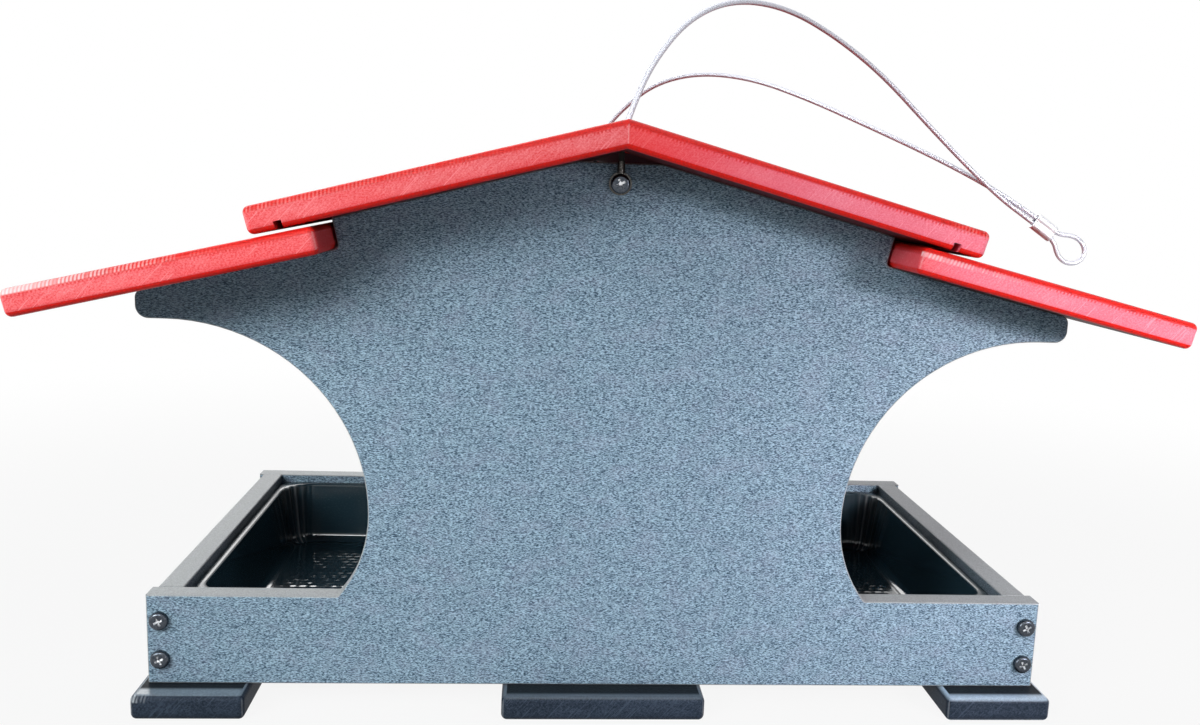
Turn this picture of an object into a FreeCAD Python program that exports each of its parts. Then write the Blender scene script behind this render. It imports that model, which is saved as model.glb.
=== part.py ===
import FreeCAD, Part
import math
import os

os.makedirs("parts", exist_ok=True)

V = FreeCAD.Vector

# Sheet stock and frame, in millimetres
sheet = 12.7  # thickness of every panel, rail, roof board and runner
panel_width = 457.2  # across a panel, rail end to rail end
frame_depth = 254.0  # over the outer faces of the two panels
rail_height = 46.4  # height of the low rail on a panel and of the end rails
end_inset = 2.4  # from a panel's end to the outer face of an end rail
edge_break = 0.8  # rounding of the panels' and rails' sawn edges

# Side cut-outs of a panel
waist_rise = 42.9  # the waist over the rail
lower_radius = 68.4  # cut-out below the waist
wing_flat = 13.8  # straight underside of a wing, from the cut-out to the tip
wing_tip = 13.2  # height of a wing at its tip
tip_round_low = 6.0
tip_round_high = 4.5
peak_drop = 5.4  # the flat at the peak lies this far under the mitre of the roof
notch_gap = 1.5  # from a lower board's inner end to the end of its notch
notch_round = 2.2
foot_round = 2.0  # left by the cutter where a cut-out meets the rail

# Roof
ridge_height = 284.0  # ridge line above the panels' bottom edge
upper_slope = math.radians(14.8)
lower_slope = math.radians(13.45)
upper_reach = 168.6  # ridge to the top edge of the upper eave, level
roof_lap = 31.1  # how far an upper board covers a lower one, level
roof_step = 2.0  # gap between them at the lower board's inner end, upright
eave_reach = 44.4  # lower boards past the ends of the panels, level
roof_overhang = 42.0  # past the outer face of a panel
board_round = 3.0  # rounding of the boards' and runners' edges
groove = 3.6  # drip groove, as deep as it is wide
groove_in = 16.8  # upper eave to the middle of the drip groove, level
cable_hole = 8.0

# Runners
runner_width = 55.0
centre_runner_width = 103.2
runner_nose = 15.4  # past the outer face of a panel
runner_side = 4.6  # past the end of a panel

# Tray
tray_side_gap = 1.0  # from the tray's lip to the rails and panels
tray_drop = 4.8  # lip below the top of the rails
tray_wall = 1.6
tray_floor = 2.4
tray_lip = 2.4
tray_draft = 5.0  # how far the walls lean in from lip to floor
tray_foot = 6.5  # bevel between wall and floor
tray_corner = 21.0
tray_lip_corner = 12.0
flutes = 5
flute_depth = 1.0

# Screws
shank = 3.6
screw_hole = 4.2
pan_head = 9.4
pan_height = 3.0
flat_head = 8.4
flat_height = 2.7
seat_gap = 0.1  # between a countersunk head and its seat
recess_length = 4.6
recess_width = 1.1
recess_depth = 1.5
long_screw = 32.0
hanger_screw = 11.0
corner_screw_in = 6.4  # from a panel's end
corner_screw_heights = (13.0, 33.3)  # above the panels' bottom edge
ridge_screw_in = 36.0  # from the ridge, level
notch_screw_in = 29.5  # from a lower board's inner end towards the ridge, level
lower_screw_in = 14.5  # from a lower board's inner end towards the eave, level
wing_screw_in = 36.6  # from a panel's end, level
runner_screw_in = 19.6  # from the sides of the centre runner

# Cable and its fittings
cable = 2.8
hanger_drop = 9.9  # hanger screw below the flat at the peak
ring = 11.0
ring_hole = 4.4
ring_plate = 1.0
barrel = 3.8
barrel_low = 5.0  # above the hanger screw
barrel_high = 10.6
cable_stand = 2.4  # from a panel's outer face to the cable's axis at the terminal
strand_apart = 3.4  # between the two strands in the ferrule
ferrule_long = 15.0
ferrule_wide = 10.2
ferrule_thick = 6.6
ferrule_in = 5.7  # middle of the ferrule inside the outer edge of the roof, level
ferrule_drop = 45.2  # middle of the ferrule below the ridge
ferrule_dip = math.radians(34.0)
mouth_in = 4.0  # straight cable before the ferrule
mouth_out = 2.0  # straight cable between the ferrule and the eye

# Derived
base = sheet  # the panels stand on the runners
half_width = panel_width / 2
half_depth = frame_depth / 2
inner_depth = half_depth - sheet
rail_outer = half_width - end_inset
rail_inner = rail_outer - sheet
panel_mid = half_depth - sheet / 2
roof_half_depth = half_depth + roof_overhang
upper_tan = math.tan(upper_slope)
lower_tan = math.tan(lower_slope)
ridge_under = ridge_height - sheet / math.cos(upper_slope)
lower_start = upper_reach - roof_lap
lower_reach = half_width + eave_reach
groove_at = upper_reach - groove_in
lower_start_height = ridge_under - lower_start * upper_tan - roof_step
lower_end_under = lower_start_height - (half_width - lower_start) * lower_tan - sheet / math.cos(lower_slope)
wing_height = lower_end_under - wing_tip
waist_height = rail_height + waist_rise
upper_radius = wing_height - waist_height
waist_half = half_width - wing_flat - upper_radius
peak_height = ridge_under - peak_drop
peak_half = peak_drop / upper_tan
hanger_height = peak_height - hanger_drop
cable_y = half_depth + cable_stand
ridge_top = base + ridge_height
ferrule_x = lower_reach - ferrule_in
ferrule_z = ridge_top - ferrule_drop
upper_screw_at = (ridge_screw_in, lower_start - notch_screw_in)
lower_screw_at = (lower_start + lower_screw_in, half_width - wing_screw_in)
centre_runner_screw = centre_runner_width / 2 - runner_screw_in


def save(shape, node):
    """Write one node and print what it holds."""
    shape.exportStep("parts/" + node + ".step")
    box = shape.BoundBox
    good = all(solid.isValid() for solid in shape.Solids)
    print(node, "solids", len(shape.Solids), "valid", good, "volume", round(shape.Volume), "box",
          [round(value, 1) for value in (box.XMin, box.XMax, box.YMin, box.YMax, box.ZMin, box.ZMax)])


def mirror_x(shape):
    """The same piece on the other side of the middle plane."""
    return shape.mirror(V(0, 0, 0), V(1, 0, 0))


def mirror_y(shape):
    """The same piece at the back."""
    return shape.mirror(V(0, 0, 0), V(0, 1, 0))


def box_between(low, high):
    """A box from its low corner to its high corner."""
    return Part.makeBox(high[0] - low[0], high[1] - low[1], high[2] - low[2], V(*low))


def edges_along_y(shape, corners, reach):
    """Edges that run front to back through the given (x, z) corners."""
    found = []
    for edge in shape.Edges:
        start = edge.Vertexes[0].Point
        end = edge.Vertexes[-1].Point
        if abs(start.x - end.x) + abs(start.z - end.z) > 0.001 or abs(start.y - end.y) < 1:
            continue
        if any(abs(start.x - x) < reach and abs(start.z - z) < reach for x, z in corners):
            found.append(edge)
    return found


def upper_under(x):
    """Height of the upper boards' underside above the panels' bottom edge."""
    return ridge_under - x * upper_tan


def lower_top(x):
    """Height of a lower board's top."""
    return lower_start_height - (x - lower_start) * lower_tan


def lower_under(x):
    """Height of a lower board's underside."""
    return lower_top(x) - sheet / math.cos(lower_slope)


# Corners of a notch: its inner end is square to the lower board
notch_low_x = lower_start - sheet * math.sin(lower_slope) - notch_gap * math.cos(lower_slope)
notch_low = (notch_low_x, lower_under(notch_low_x))
notch_run = (upper_under(notch_low_x) - notch_low[1]) / (math.cos(lower_slope) + math.sin(lower_slope) * upper_tan)
notch_high_x = notch_low_x + notch_run * math.sin(lower_slope)
notch_high = (notch_high_x, upper_under(notch_high_x))

# Corners of a cut-out
lower_mid_x = waist_half + lower_radius
rail_turn = math.asin(waist_rise / lower_radius)
foot = (lower_mid_x - lower_radius * math.cos(rail_turn), rail_height)
tip_high = (half_width, lower_under(half_width))
tip_low = (half_width, wing_height)


def panel_side(sign):
    """Edges of one half of the panel's outline, from the rail's bottom corner to the peak."""
    upper_mid_x = waist_half + upper_radius
    half_turn = rail_turn / 2
    lower_mid = (lower_mid_x - lower_radius * math.cos(half_turn), waist_height - lower_radius * math.sin(half_turn))
    waist = (waist_half, waist_height)
    slant = upper_radius * math.sqrt(0.5)
    upper_mid = (upper_mid_x - slant, waist_height + slant)
    arch_end = (upper_mid_x, wing_height)

    def at(point):
        return V(sign * point[0], 0, base + point[1])

    def line(first, second):
        return Part.LineSegment(at(first), at(second)).toShape()

    def arc(first, middle, second):
        return Part.Arc(at(first), at(middle), at(second)).toShape()

    return [
        line((half_width, 0), (half_width, rail_height)),
        line((half_width, rail_height), foot),
        arc(foot, lower_mid, waist),
        arc(waist, upper_mid, arch_end),
        line(arch_end, tip_low),
        line(tip_low, tip_high),
        line(tip_high, notch_low),
        line(notch_low, notch_high),
        line(notch_high, (peak_half, peak_height)),
    ]


def hole(point, direction, diameter, length):
    """A round cutter from a point along a direction."""
    return Part.makeCylinder(diameter / 2, length, V(*point), V(*direction))


def recess():
    """Cross recess that is cut from the top of a screw head at the origin."""
    bar = Part.makeBox(recess_length, recess_width, recess_depth, V(-recess_length / 2, -recess_width / 2, -recess_depth))
    cross = bar.copy()
    cross.rotate(V(0, 0, 0), V(0, 0, 1), 90)
    return bar.fuse(cross)


def pan_screw(length):
    """Pan-head screw: the head's underside is at the origin and the shank points down."""
    crown = pan_height * 0.55
    head = Part.makeCylinder(pan_head / 2, pan_height)
    rim = [edge for edge in head.Edges if edge.Curve.TypeId == "Part::GeomCircle" and edge.BoundBox.ZMin > 1]
    head = head.makeFillet(crown, rim)
    turned = recess()
    turned.rotate(V(0, 0, 0), V(0, 0, 1), 25)
    turned.translate(V(0, 0, pan_height))
    head = head.cut(turned)
    tip = shank * 0.9
    body = Part.makeCylinder(shank / 2, length - tip, V(0, 0, tip - length))
    point = Part.makeCone(0.4, shank / 2, tip, V(0, 0, -length))
    return head.fuse([body, point]).removeSplitter()


def flat_screw(length):
    """Countersunk screw: the head's top is at the origin and the shank points down."""
    head = Part.makeCone(shank / 2, flat_head / 2, flat_height, V(0, 0, -flat_height))
    tip = shank * 0.9
    body = Part.makeCylinder(shank / 2, length - tip - flat_height, V(0, 0, tip - length))
    point = Part.makeCone(0.4, shank / 2, tip, V(0, 0, -length))
    return head.fuse([body, point]).removeSplitter().cut(recess())


def flat_hole(length):
    """Cutter for a countersunk screw, from just above the surface down past the tip."""
    slope = (flat_head - shank) / 2 / flat_height
    wide = flat_head / 2 + seat_gap
    narrow = shank / 2 + seat_gap
    sink = Part.makeCone(narrow, wide, (wide - narrow) / slope, V(0, 0, -flat_height))
    top = Part.makeCylinder(wide, 2, V(0, 0, (wide - narrow) / slope - flat_height))
    body = Part.makeCylinder(screw_hole / 2, length + 1 - flat_height, V(0, 0, -length - 1))
    return sink.fuse([top, body])


def aim(shape, point, direction):
    """Turn a piece made along +Z so that +Z lies on a direction, then move it to a point."""
    placed = shape.copy()
    turn = FreeCAD.Rotation(V(0, 0, 1), V(*direction))
    placed.Placement = FreeCAD.Placement(V(*point), turn).multiply(placed.Placement)
    return placed


# Where the screws sit: (point on the surface, outward direction)
corner_spots = []
for side in (-1, 1):
    for height in corner_screw_heights:
        corner_spots.append(((side * (half_width - corner_screw_in), -half_depth, base + height), (0, -1, 0)))


def board_spots(side, slope, places, height):
    """Screws of one roof board, two over each panel."""
    spots = []
    for x in places:
        for y in (-panel_mid, panel_mid):
            point = (side * x, y, base + height(x))
            spots.append((point, (side * math.sin(slope), 0, math.cos(slope))))
    return spots


def upper_top(x):
    """Height of the upper boards' top."""
    return ridge_height - x * upper_tan


runner_spots = {
    "left": [((-(half_width + runner_side - runner_width / 2), y, 0), (0, 0, -1)) for y in (-panel_mid, panel_mid)],
    "centre": [((x, y, 0), (0, 0, -1)) for x in (-centre_runner_screw, centre_runner_screw)
               for y in (-panel_mid, panel_mid)],
    "right": [((half_width + runner_side - runner_width / 2, y, 0), (0, 0, -1)) for y in (-panel_mid, panel_mid)],
}
roof_spots = {}
for name, side in (("left", -1), ("right", 1)):
    roof_spots["upper", name] = board_spots(side, upper_slope, upper_screw_at, upper_top)
    roof_spots["lower", name] = board_spots(side, lower_slope, lower_screw_at, lower_top)
flush_spots = [spot for spots in list(roof_spots.values()) + list(runner_spots.values()) for spot in spots]


# Front panel
bottom_edge = Part.LineSegment(V(-half_width, 0, base), V(half_width, 0, base)).toShape()
peak_edge = Part.LineSegment(V(-peak_half, 0, base + peak_height), V(peak_half, 0, base + peak_height)).toShape()
outline = Part.Wire(Part.__sortEdges__(panel_side(1) + panel_side(-1) + [bottom_edge, peak_edge]))
panel = Part.Face(outline).extrude(V(0, sheet, 0))
panel.translate(V(0, -half_depth, 0))
for corner, radius in ((tip_low, tip_round_low), (tip_high, tip_round_high), (notch_low, notch_round), (foot, foot_round)):
    places = [(sign * corner[0], base + corner[1]) for sign in (-1, 1)]
    panel = panel.makeFillet(radius, edges_along_y(panel, places, 0.05))
faces_y = (-half_depth, -half_depth + sheet)
outline_edges = [edge for edge in panel.Edges
                 if edge.BoundBox.YLength < 0.001 and min(abs(edge.BoundBox.YMin - y) for y in faces_y) < 0.001]
panel = panel.makeFillet(edge_break, outline_edges)
drills = [hole((point[0], -half_depth - 1, point[2]), (0, 1, 0), screw_hole, sheet + 2) for point, aimed in corner_spots]
drills.append(hole((0, -half_depth - 1, base + hanger_height), (0, 1, 0), screw_hole, hanger_screw + 1.6))
drills += [aim(flat_hole(long_screw), point, aimed) for point, aimed in flush_spots if point[1] < 0]
front_panel = panel.cut(drills)
save(front_panel, "front_panel")
save(mirror_y(front_panel), "back_panel")

# End rails
rail = box_between((-rail_outer, -inner_depth, base), (-rail_inner, inner_depth, base + rail_height))
long_edges = [edge for edge in rail.Edges if edge.BoundBox.YLength > 10]
rail = rail.makeFillet(edge_break, long_edges)
rail_drill = []
for point, aimed in corner_spots:
    if point[0] < 0:
        front_drill = hole((point[0], -inner_depth - 1, point[2]), (0, 1, 0), screw_hole, long_screw - sheet + 2.5)
        rail_drill += [front_drill, mirror_y(front_drill)]
left_end_rail = rail.cut(rail_drill)
save(left_end_rail, "left_end_rail")
save(mirror_x(left_end_rail), "right_end_rail")


# Roof boards
def board(corners, keep_sharp):
    """A board along Y from its cross-section corners, with its edges rounded except on the plane x = 0."""
    points = [V(x, -roof_half_depth, base + z) for x, z in corners]
    body = Part.Face(Part.makePolygon(points + [points[0]])).extrude(V(0, 2 * roof_half_depth, 0))
    soft = []
    for edge in body.Edges:
        on_mitre = edge.BoundBox.XMax < 0.001
        if not (keep_sharp and on_mitre):
            soft.append(edge)
    return body.makeFillet(board_round, soft)


upper_corners = [
    (0, ridge_height),
    (upper_reach, upper_top(upper_reach)),
    (upper_reach - sheet * math.sin(upper_slope), upper_top(upper_reach) - sheet * math.cos(upper_slope)),
    (0, ridge_under),
]
lower_corners = [
    (lower_start, lower_start_height),
    (lower_reach, lower_top(lower_reach)),
    (lower_reach - sheet * math.sin(lower_slope), lower_top(lower_reach) - sheet * math.cos(lower_slope)),
    (lower_start - sheet * math.sin(lower_slope), lower_start_height - sheet * math.cos(lower_slope)),
]
groove_cut = Part.makeBox(groove, 2 * roof_half_depth + 2, 2 * groove, V(-groove / 2, -roof_half_depth - 1, -groove))
groove_cut.rotate(V(0, 0, 0), V(0, 1, 0), math.degrees(upper_slope))
groove_cut.translate(V(groove_at, 0, base + upper_under(groove_at)))
cable_cuts = [hole((0, y, base + ridge_under - 5), (0, 0, 1), cable_hole, 30) for y in (-cable_y, cable_y)]

upper_board = board(upper_corners, True).cut([groove_cut] + cable_cuts)
upper_board = upper_board.cut([aim(flat_hole(long_screw), *spot) for spot in roof_spots["upper", "right"]])
save(upper_board, "upper_roof_right")
save(mirror_x(upper_board), "upper_roof_left")
lower_board = board(lower_corners, False)
lower_board = lower_board.cut([aim(flat_hole(long_screw), *spot) for spot in roof_spots["lower", "right"]])
save(lower_board, "lower_roof_right")
save(mirror_x(lower_board), "lower_roof_left")


# Runners
def runner(low_x, high_x, spots):
    """A black foot from low_x to high_x, drilled for its screws."""
    nose = half_depth + runner_nose
    body = box_between((low_x, -nose, 0), (high_x, nose, sheet))
    body = body.makeFillet(board_round, body.Edges)
    return body.cut([aim(flat_hole(long_screw), point, aimed) for point, aimed in spots])


outer_x = half_width + runner_side
save(runner(-outer_x, runner_width - outer_x, runner_spots["left"]), "left_runner")
save(runner(-centre_runner_width / 2, centre_runner_width / 2, runner_spots["centre"]), "centre_runner")
save(runner(outer_x - runner_width, outer_x, runner_spots["right"]), "right_runner")


# Tray
def tray_wire(half_x, half_y, corner, depth, z):
    """Rectangle whose rounded corners are made of flutes that bulge into the tray."""
    step = math.pi / 2 / flutes
    edges = []
    last = None
    first = None
    for quarter, (sx, sy) in enumerate(((1, 1), (-1, 1), (-1, -1), (1, -1))):
        middle = V(sx * (half_x - corner), sy * (half_y - corner), z)
        for index in range(flutes):
            turn = quarter * math.pi / 2 + index * step
            start = middle + V(math.cos(turn), math.sin(turn), 0) * corner
            end = middle + V(math.cos(turn + step), math.sin(turn + step), 0) * corner
            inward = corner * math.cos(step / 2) - depth
            bulge = middle + V(math.cos(turn + step / 2), math.sin(turn + step / 2), 0) * inward
            if index == 0 and last is not None:
                edges.append(Part.LineSegment(last, start).toShape())
            if first is None:
                first = start
            edges.append(Part.Arc(start, bulge, end).toShape())
            last = end
    edges.append(Part.LineSegment(last, first).toShape())
    return Part.Wire(edges)


lip_x = rail_inner - tray_side_gap
lip_y = inner_depth - tray_side_gap
lip_z = base + rail_height - tray_drop
wall_x = lip_x - tray_lip
wall_y = lip_y - tray_lip
foot_x = wall_x - tray_draft
foot_y = wall_y - tray_draft
tray_bottom = base
tray_outer = Part.makeLoft([
    tray_wire(foot_x - tray_foot / 2, foot_y - tray_foot / 2, tray_corner - tray_draft, flute_depth, tray_bottom),
    tray_wire(foot_x, foot_y, tray_corner - tray_draft, flute_depth, tray_bottom + tray_foot),
    tray_wire(wall_x, wall_y, tray_corner, flute_depth, lip_z),
], True, True)
inner_corner = tray_corner - tray_wall
tray_inner = Part.makeLoft([
    tray_wire(foot_x - tray_wall - tray_foot, foot_y - tray_wall - tray_foot, inner_corner - tray_draft - tray_foot / 2,
              flute_depth, tray_bottom + tray_floor),
    tray_wire(foot_x - tray_wall, foot_y - tray_wall, inner_corner - tray_draft, flute_depth,
              tray_bottom + tray_floor + tray_foot),
    tray_wire(wall_x - tray_wall, wall_y - tray_wall, inner_corner, flute_depth, lip_z),
], True, True)
lip_plate = box_between((-lip_x, -lip_y, lip_z - tray_wall), (lip_x, lip_y, lip_z))
upright = [edge for edge in lip_plate.Edges if edge.BoundBox.ZLength > 1]
lip_plate = lip_plate.makeFillet(tray_lip_corner, upright)
tray_over = tray_wire(wall_x - tray_wall, wall_y - tray_wall, inner_corner, flute_depth, lip_z)
tray_mouth = Part.Face(tray_over).extrude(V(0, 0, 1))
seed_tray = tray_outer.fuse(lip_plate).cut([tray_inner, tray_mouth]).removeSplitter()
save(seed_tray, "seed_tray")

# Screws
corner_front = [aim(pan_screw(long_screw), point, aimed) for point, aimed in corner_spots]
corner_group = Part.makeCompound(corner_front)
save(corner_group, "corner_screws_front")
save(mirror_y(corner_group), "corner_screws_back")
for (level, name), spots in roof_spots.items():
    group = [aim(flat_screw(long_screw), point, aimed) for point, aimed in spots]
    save(Part.makeCompound(group), level + "_roof_screws_" + name)
for name, spots in runner_spots.items():
    group = [aim(flat_screw(long_screw), point, aimed) for point, aimed in spots]
    save(Part.makeCompound(group), name + "_runner_screws")

# Cable terminals and their screws
hanger_z = base + hanger_height
plate_y = -half_depth - ring_plate
terminal = Part.makeCylinder(ring / 2, ring_plate, V(0, plate_y, hanger_z), V(0, 1, 0))
neck = box_between((-barrel / 2, plate_y, hanger_z), (barrel / 2, -half_depth, hanger_z + barrel_low + 1.5))
grip = Part.makeCylinder(barrel / 2, barrel_high - barrel_low, V(0, -cable_y, hanger_z + barrel_low))
ring_cut = hole((0, plate_y - 1, hanger_z), (0, 1, 0), ring_hole, ring_plate + 2)
terminal = terminal.fuse([neck, grip]).removeSplitter().cut(ring_cut)
save(terminal, "cable_terminal_front")
save(mirror_y(terminal), "cable_terminal_back")
hanger = aim(pan_screw(hanger_screw + ring_plate), (0, plate_y, hanger_z), (0, -1, 0))
save(hanger, "hanger_screw_front")
save(mirror_y(hanger), "hanger_screw_back")

# Ferrule: an oval sleeve whose bore holds the two strands side by side
along = V(math.cos(ferrule_dip), 0, -math.sin(ferrule_dip))
across = V(math.sin(ferrule_dip), 0, math.cos(ferrule_dip))
ferrule_mid = V(ferrule_x, 0, ferrule_z)


def oval(width, thick, length):
    """A prism along the ferrule's axis with an oval section."""
    reach = (width - thick) / 2
    start = ferrule_mid - along * (length / 2)
    ends = [Part.makeCylinder(thick / 2, length, start + across * (sign * reach), along) for sign in (-1, 1)]
    corner = [start + across * (a * reach) + V(0, b * thick / 2, 0) for a, b in ((-1, -1), (1, -1), (1, 1), (-1, 1))]
    middle = Part.Face(Part.makePolygon(corner + [corner[0]])).extrude(along * length)
    return ends[0].fuse([ends[1], middle]).removeSplitter()


bore_gap = 0.15
bore = oval(strand_apart + cable + 2 * bore_gap, cable + 2 * bore_gap, ferrule_long + 2)
sleeve = oval(ferrule_wide, ferrule_thick, ferrule_long)
sleeve = sleeve.makeFillet(0.6, [edge for face in sleeve.Faces for edge in face.Edges
                                 if abs(face.normalAt(0, 0).dot(along)) > 0.99])
save(sleeve.cut(bore), "cable_ferrule")

# Route of the cable: front terminal, front arc, ferrule, eye, ferrule, back arc, back terminal
cable_low = hanger_z + barrel_high
low_in = ferrule_mid - across * (strand_apart / 2) - along * (ferrule_long / 2 + mouth_in)
low_out = ferrule_mid - across * (strand_apart / 2) + along * (ferrule_long / 2 + mouth_out)
high_in = ferrule_mid + across * (strand_apart / 2) - along * (ferrule_long / 2 + mouth_in)
high_out = ferrule_mid + across * (strand_apart / 2) + along * (ferrule_long / 2 + mouth_out)

# Points of the two arcs: (x, share of the way out to the terminal, height above the ridge)
front_arc = [
    (0, 1, -7.7),
    (4, 0.99, 6.3),
    (14, 0.91, 29.3),
    (32.5, 0.795, 52.8),
    (58, 0.64, 65.8),
    (90, 0.455, 66.3),
    (123, 0.285, 55.5),
    (156, 0.147, 37.8),
    (188, 0.058, 12.3),
    (217, 0.019, -11.7),
    (239, 0.012, -29.2),
]
back_arc = [
    (240, 0.012, -26.2),
    (217, 0.019, -14.7),
    (190, 0.054, -2.2),
    (158, 0.143, 12.3),
    (125, 0.278, 27.8),
    (93, 0.44, 40.3),
    (62, 0.618, 44.3),
    (36, 0.78, 37.8),
    (15, 0.915, 21.8),
    (3, 0.99, 5.3),
    (0, 1, -7.7),
]
# Points of the eye: (x, z) from the middle of the ferrule
eye = [(10.2, -16.8), (16.7, -21.4), (24.2, -20.4), (27.8, -14.5), (25.2, -8), (18.7, -4.1)]
route = [V(0, -cable_y, cable_low)]
route += [V(x, -share * cable_y, ridge_top + rise) for x, share, rise in front_arc]
route += [low_in, low_out]
route += [ferrule_mid + V(x, 0, z) for x, z in eye]
route += [high_out, high_in]
route += [V(x, share * cable_y, ridge_top + rise) for x, share, rise in back_arc]
route += [V(0, cable_y, cable_low)]


def route_wire(points):
    """Straight runs joined by arcs that touch both runs; returns the wire and its arc radii."""
    edges = []
    radii = []
    here = points[0]
    for index in range(1, len(points) - 1):
        before, point, after = points[index - 1:index + 2]
        back = (before - point).normalize()
        ahead = (after - point).normalize()
        turn = math.pi - back.getAngle(ahead)
        reach = 0.45 * min((before - point).Length, (after - point).Length)
        radius = reach / math.tan(turn / 2)
        radii.append(radius)
        start = point + back * reach
        end = point + ahead * reach
        inward = (back + ahead).normalize()
        centre_run = math.hypot(radius, reach)
        middle = point + inward * (centre_run - radius)
        edges.append(Part.LineSegment(here, start).toShape())
        edges.append(Part.Arc(start, middle, end).toShape())
        here = end
    edges.append(Part.LineSegment(here, points[-1]).toShape())
    return Part.Wire(edges), radii


path, radii = route_wire(route)
section = Part.Wire(Part.makeCircle(cable / 2, route[0], route[1] - route[0]))
hanging_cable = path.makePipeShell([section], True, False)
save(hanging_cable, "hanging_cable")
expected = math.pi * cable ** 2 / 4 * path.Length
print("cable length", round(path.Length, 1), "volume over section times length", round(hanging_cable.Volume / expected, 4))
print("radii", [round(radius, 1) for radius in radii])
print("runs", [round((b - a).Length, 1) for a, b in zip(route, route[1:])])
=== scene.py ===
"""Looks of the covered tray feeder: finishes, seed tray, hanging cable, ferrule, stage and camera."""

import logging
import math
from dataclasses import dataclass, replace
from enum import Enum

import bpy
import numpy as np
from mathutils import Matrix, Vector


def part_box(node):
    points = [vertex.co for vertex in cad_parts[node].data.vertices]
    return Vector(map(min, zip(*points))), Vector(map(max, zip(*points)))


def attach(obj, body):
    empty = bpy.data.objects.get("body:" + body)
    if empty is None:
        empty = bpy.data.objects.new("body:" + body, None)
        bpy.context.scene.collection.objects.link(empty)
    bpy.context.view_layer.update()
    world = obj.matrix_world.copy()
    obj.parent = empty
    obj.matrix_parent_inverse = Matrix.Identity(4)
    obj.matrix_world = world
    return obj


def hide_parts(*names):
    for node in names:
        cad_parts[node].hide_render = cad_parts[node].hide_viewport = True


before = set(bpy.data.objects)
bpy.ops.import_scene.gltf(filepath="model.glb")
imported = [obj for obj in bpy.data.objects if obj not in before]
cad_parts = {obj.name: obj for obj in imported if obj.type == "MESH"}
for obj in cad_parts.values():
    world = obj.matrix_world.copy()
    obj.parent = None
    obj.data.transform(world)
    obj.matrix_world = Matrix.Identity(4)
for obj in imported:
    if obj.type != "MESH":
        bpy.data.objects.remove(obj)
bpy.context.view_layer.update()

LOG = logging.getLogger("feeder")
MM = 0.001
PAINTED_CREST_HIGHLIGHT = "painted_crest_highlight"
TWIST = "twist"
WHITE = (1.0, 1.0, 1.0)
SEEING_RAYS = ("Is Camera Ray", "Is Glossy Ray", "Is Transmission Ray")

Colour = tuple[float, float, float]
Triple = tuple[float, float, float]
Pair = tuple[float, float]
Inputs = dict[str | int, object]
Socket = bpy.types.NodeSocket
Material = bpy.types.Material
Piece = bpy.types.Object


class Axis(Enum):
    """Directions of the shared frame."""

    X = (1.0, 0.0, 0.0)
    Y = (0.0, 1.0, 0.0)
    Z = (0.0, 0.0, 1.0)


class Side(Enum):
    """Halves of the feeder, with the sign of their x."""

    LEFT = -1
    RIGHT = 1


class Nodes:
    """Node tree, with a short call for each kind of node that is used in it."""

    def __init__(self, tree: bpy.types.NodeTree) -> None:
        """Take over a tree."""
        self.tree = tree

    def put(self, socket: Socket, value: object) -> None:
        """Link a socket's source to it, or set its own value.

        Args:
            socket: the input to fill.
            value: another socket, or a plain value; a colour has three parts.
        """
        if isinstance(value, Socket):
            self.tree.links.new(value, socket)
        elif socket.type == "RGBA":
            socket.default_value = (*value, 1.0)
        else:
            socket.default_value = value

    def add(self, kind: str, inputs: Inputs | None = None, **settings: object) -> bpy.types.Node:
        """Add a node.

        Args:
            kind: Blender's name of the node.
            inputs: its sockets, by name or number, with their values or sources.
            settings: its properties.

        Returns:
            The new node.
        """
        node = self.tree.nodes.new(kind)
        for key, value in settings.items():
            setattr(node, key, value)
        for key, value in (inputs or {}).items():
            self.put(node.inputs[key], value)
        return node

    def calc(self, operation: str, first: object, *others: object) -> Socket:
        """Result of math nodes in a row.

        Args:
            operation: Blender's name of the operation.
            first: value or socket that the row starts with.
            others: what each node takes in; none for an operation on one value.

        Returns:
            The last node's result.
        """
        for other in others or (0.0,):
            first = self.add("ShaderNodeMath", {0: first, 1: other}, operation=operation).outputs[0]
        return first

    def times(self, *factors: object) -> Socket:
        """Product of values or sockets."""
        return self.calc("MULTIPLY", *factors)

    def plus(self, *terms: object) -> Socket:
        """Sum of values or sockets."""
        return self.calc("ADD", *terms)

    def along(self, vector: Socket, direction: Triple) -> Socket:
        """Part of a vector along a fixed direction."""
        node = self.add("ShaderNodeVectorMath", {0: vector, 1: direction}, operation="DOT_PRODUCT")
        return node.outputs["Value"]

    def step(self, value: object, start: float, end: float) -> Socket:
        """Smooth step from 0 at start to 1 at end; start may be the larger one."""
        limits = {"Value": value, "From Min": start, "From Max": end}
        return self.add("ShaderNodeMapRange", limits, interpolation_type="SMOOTHSTEP").outputs["Result"]

    def mix(self, share: object, first: object, second: object) -> Socket:
        """Colour between two colours or sockets; the node's colours are inputs 6 and 7 and output 2."""
        return self.add("ShaderNodeMix", {0: share, 6: first, 7: second}, data_type="RGBA").outputs[2]

    def blend(self, share: object, first: object, second: object) -> Socket:
        """Value between two values or sockets; the node's values are inputs 2 and 3 and output 0."""
        return self.add("ShaderNodeMix", {0: share, 2: first, 3: second}, data_type="FLOAT").outputs[0]

    def seen(self) -> Socket:
        """Share that is 1 for rays of the camera, of gloss and of clear plastic, and 0 for other light."""
        rays = self.add("ShaderNodeLightPath").outputs
        return self.calc("MAXIMUM", *(rays[kind] for kind in SEEING_RAYS))

    def show(self, share: object, first: bpy.types.Node, second: bpy.types.Node, output: str) -> None:
        """Lead a mix of two shaders to the tree's output node."""
        mix = self.add("ShaderNodeMixShader", {0: share, 1: first.outputs[0], 2: second.outputs[0]})
        self.put(self.tree.nodes[output].inputs["Surface"], mix.outputs[0])


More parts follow.
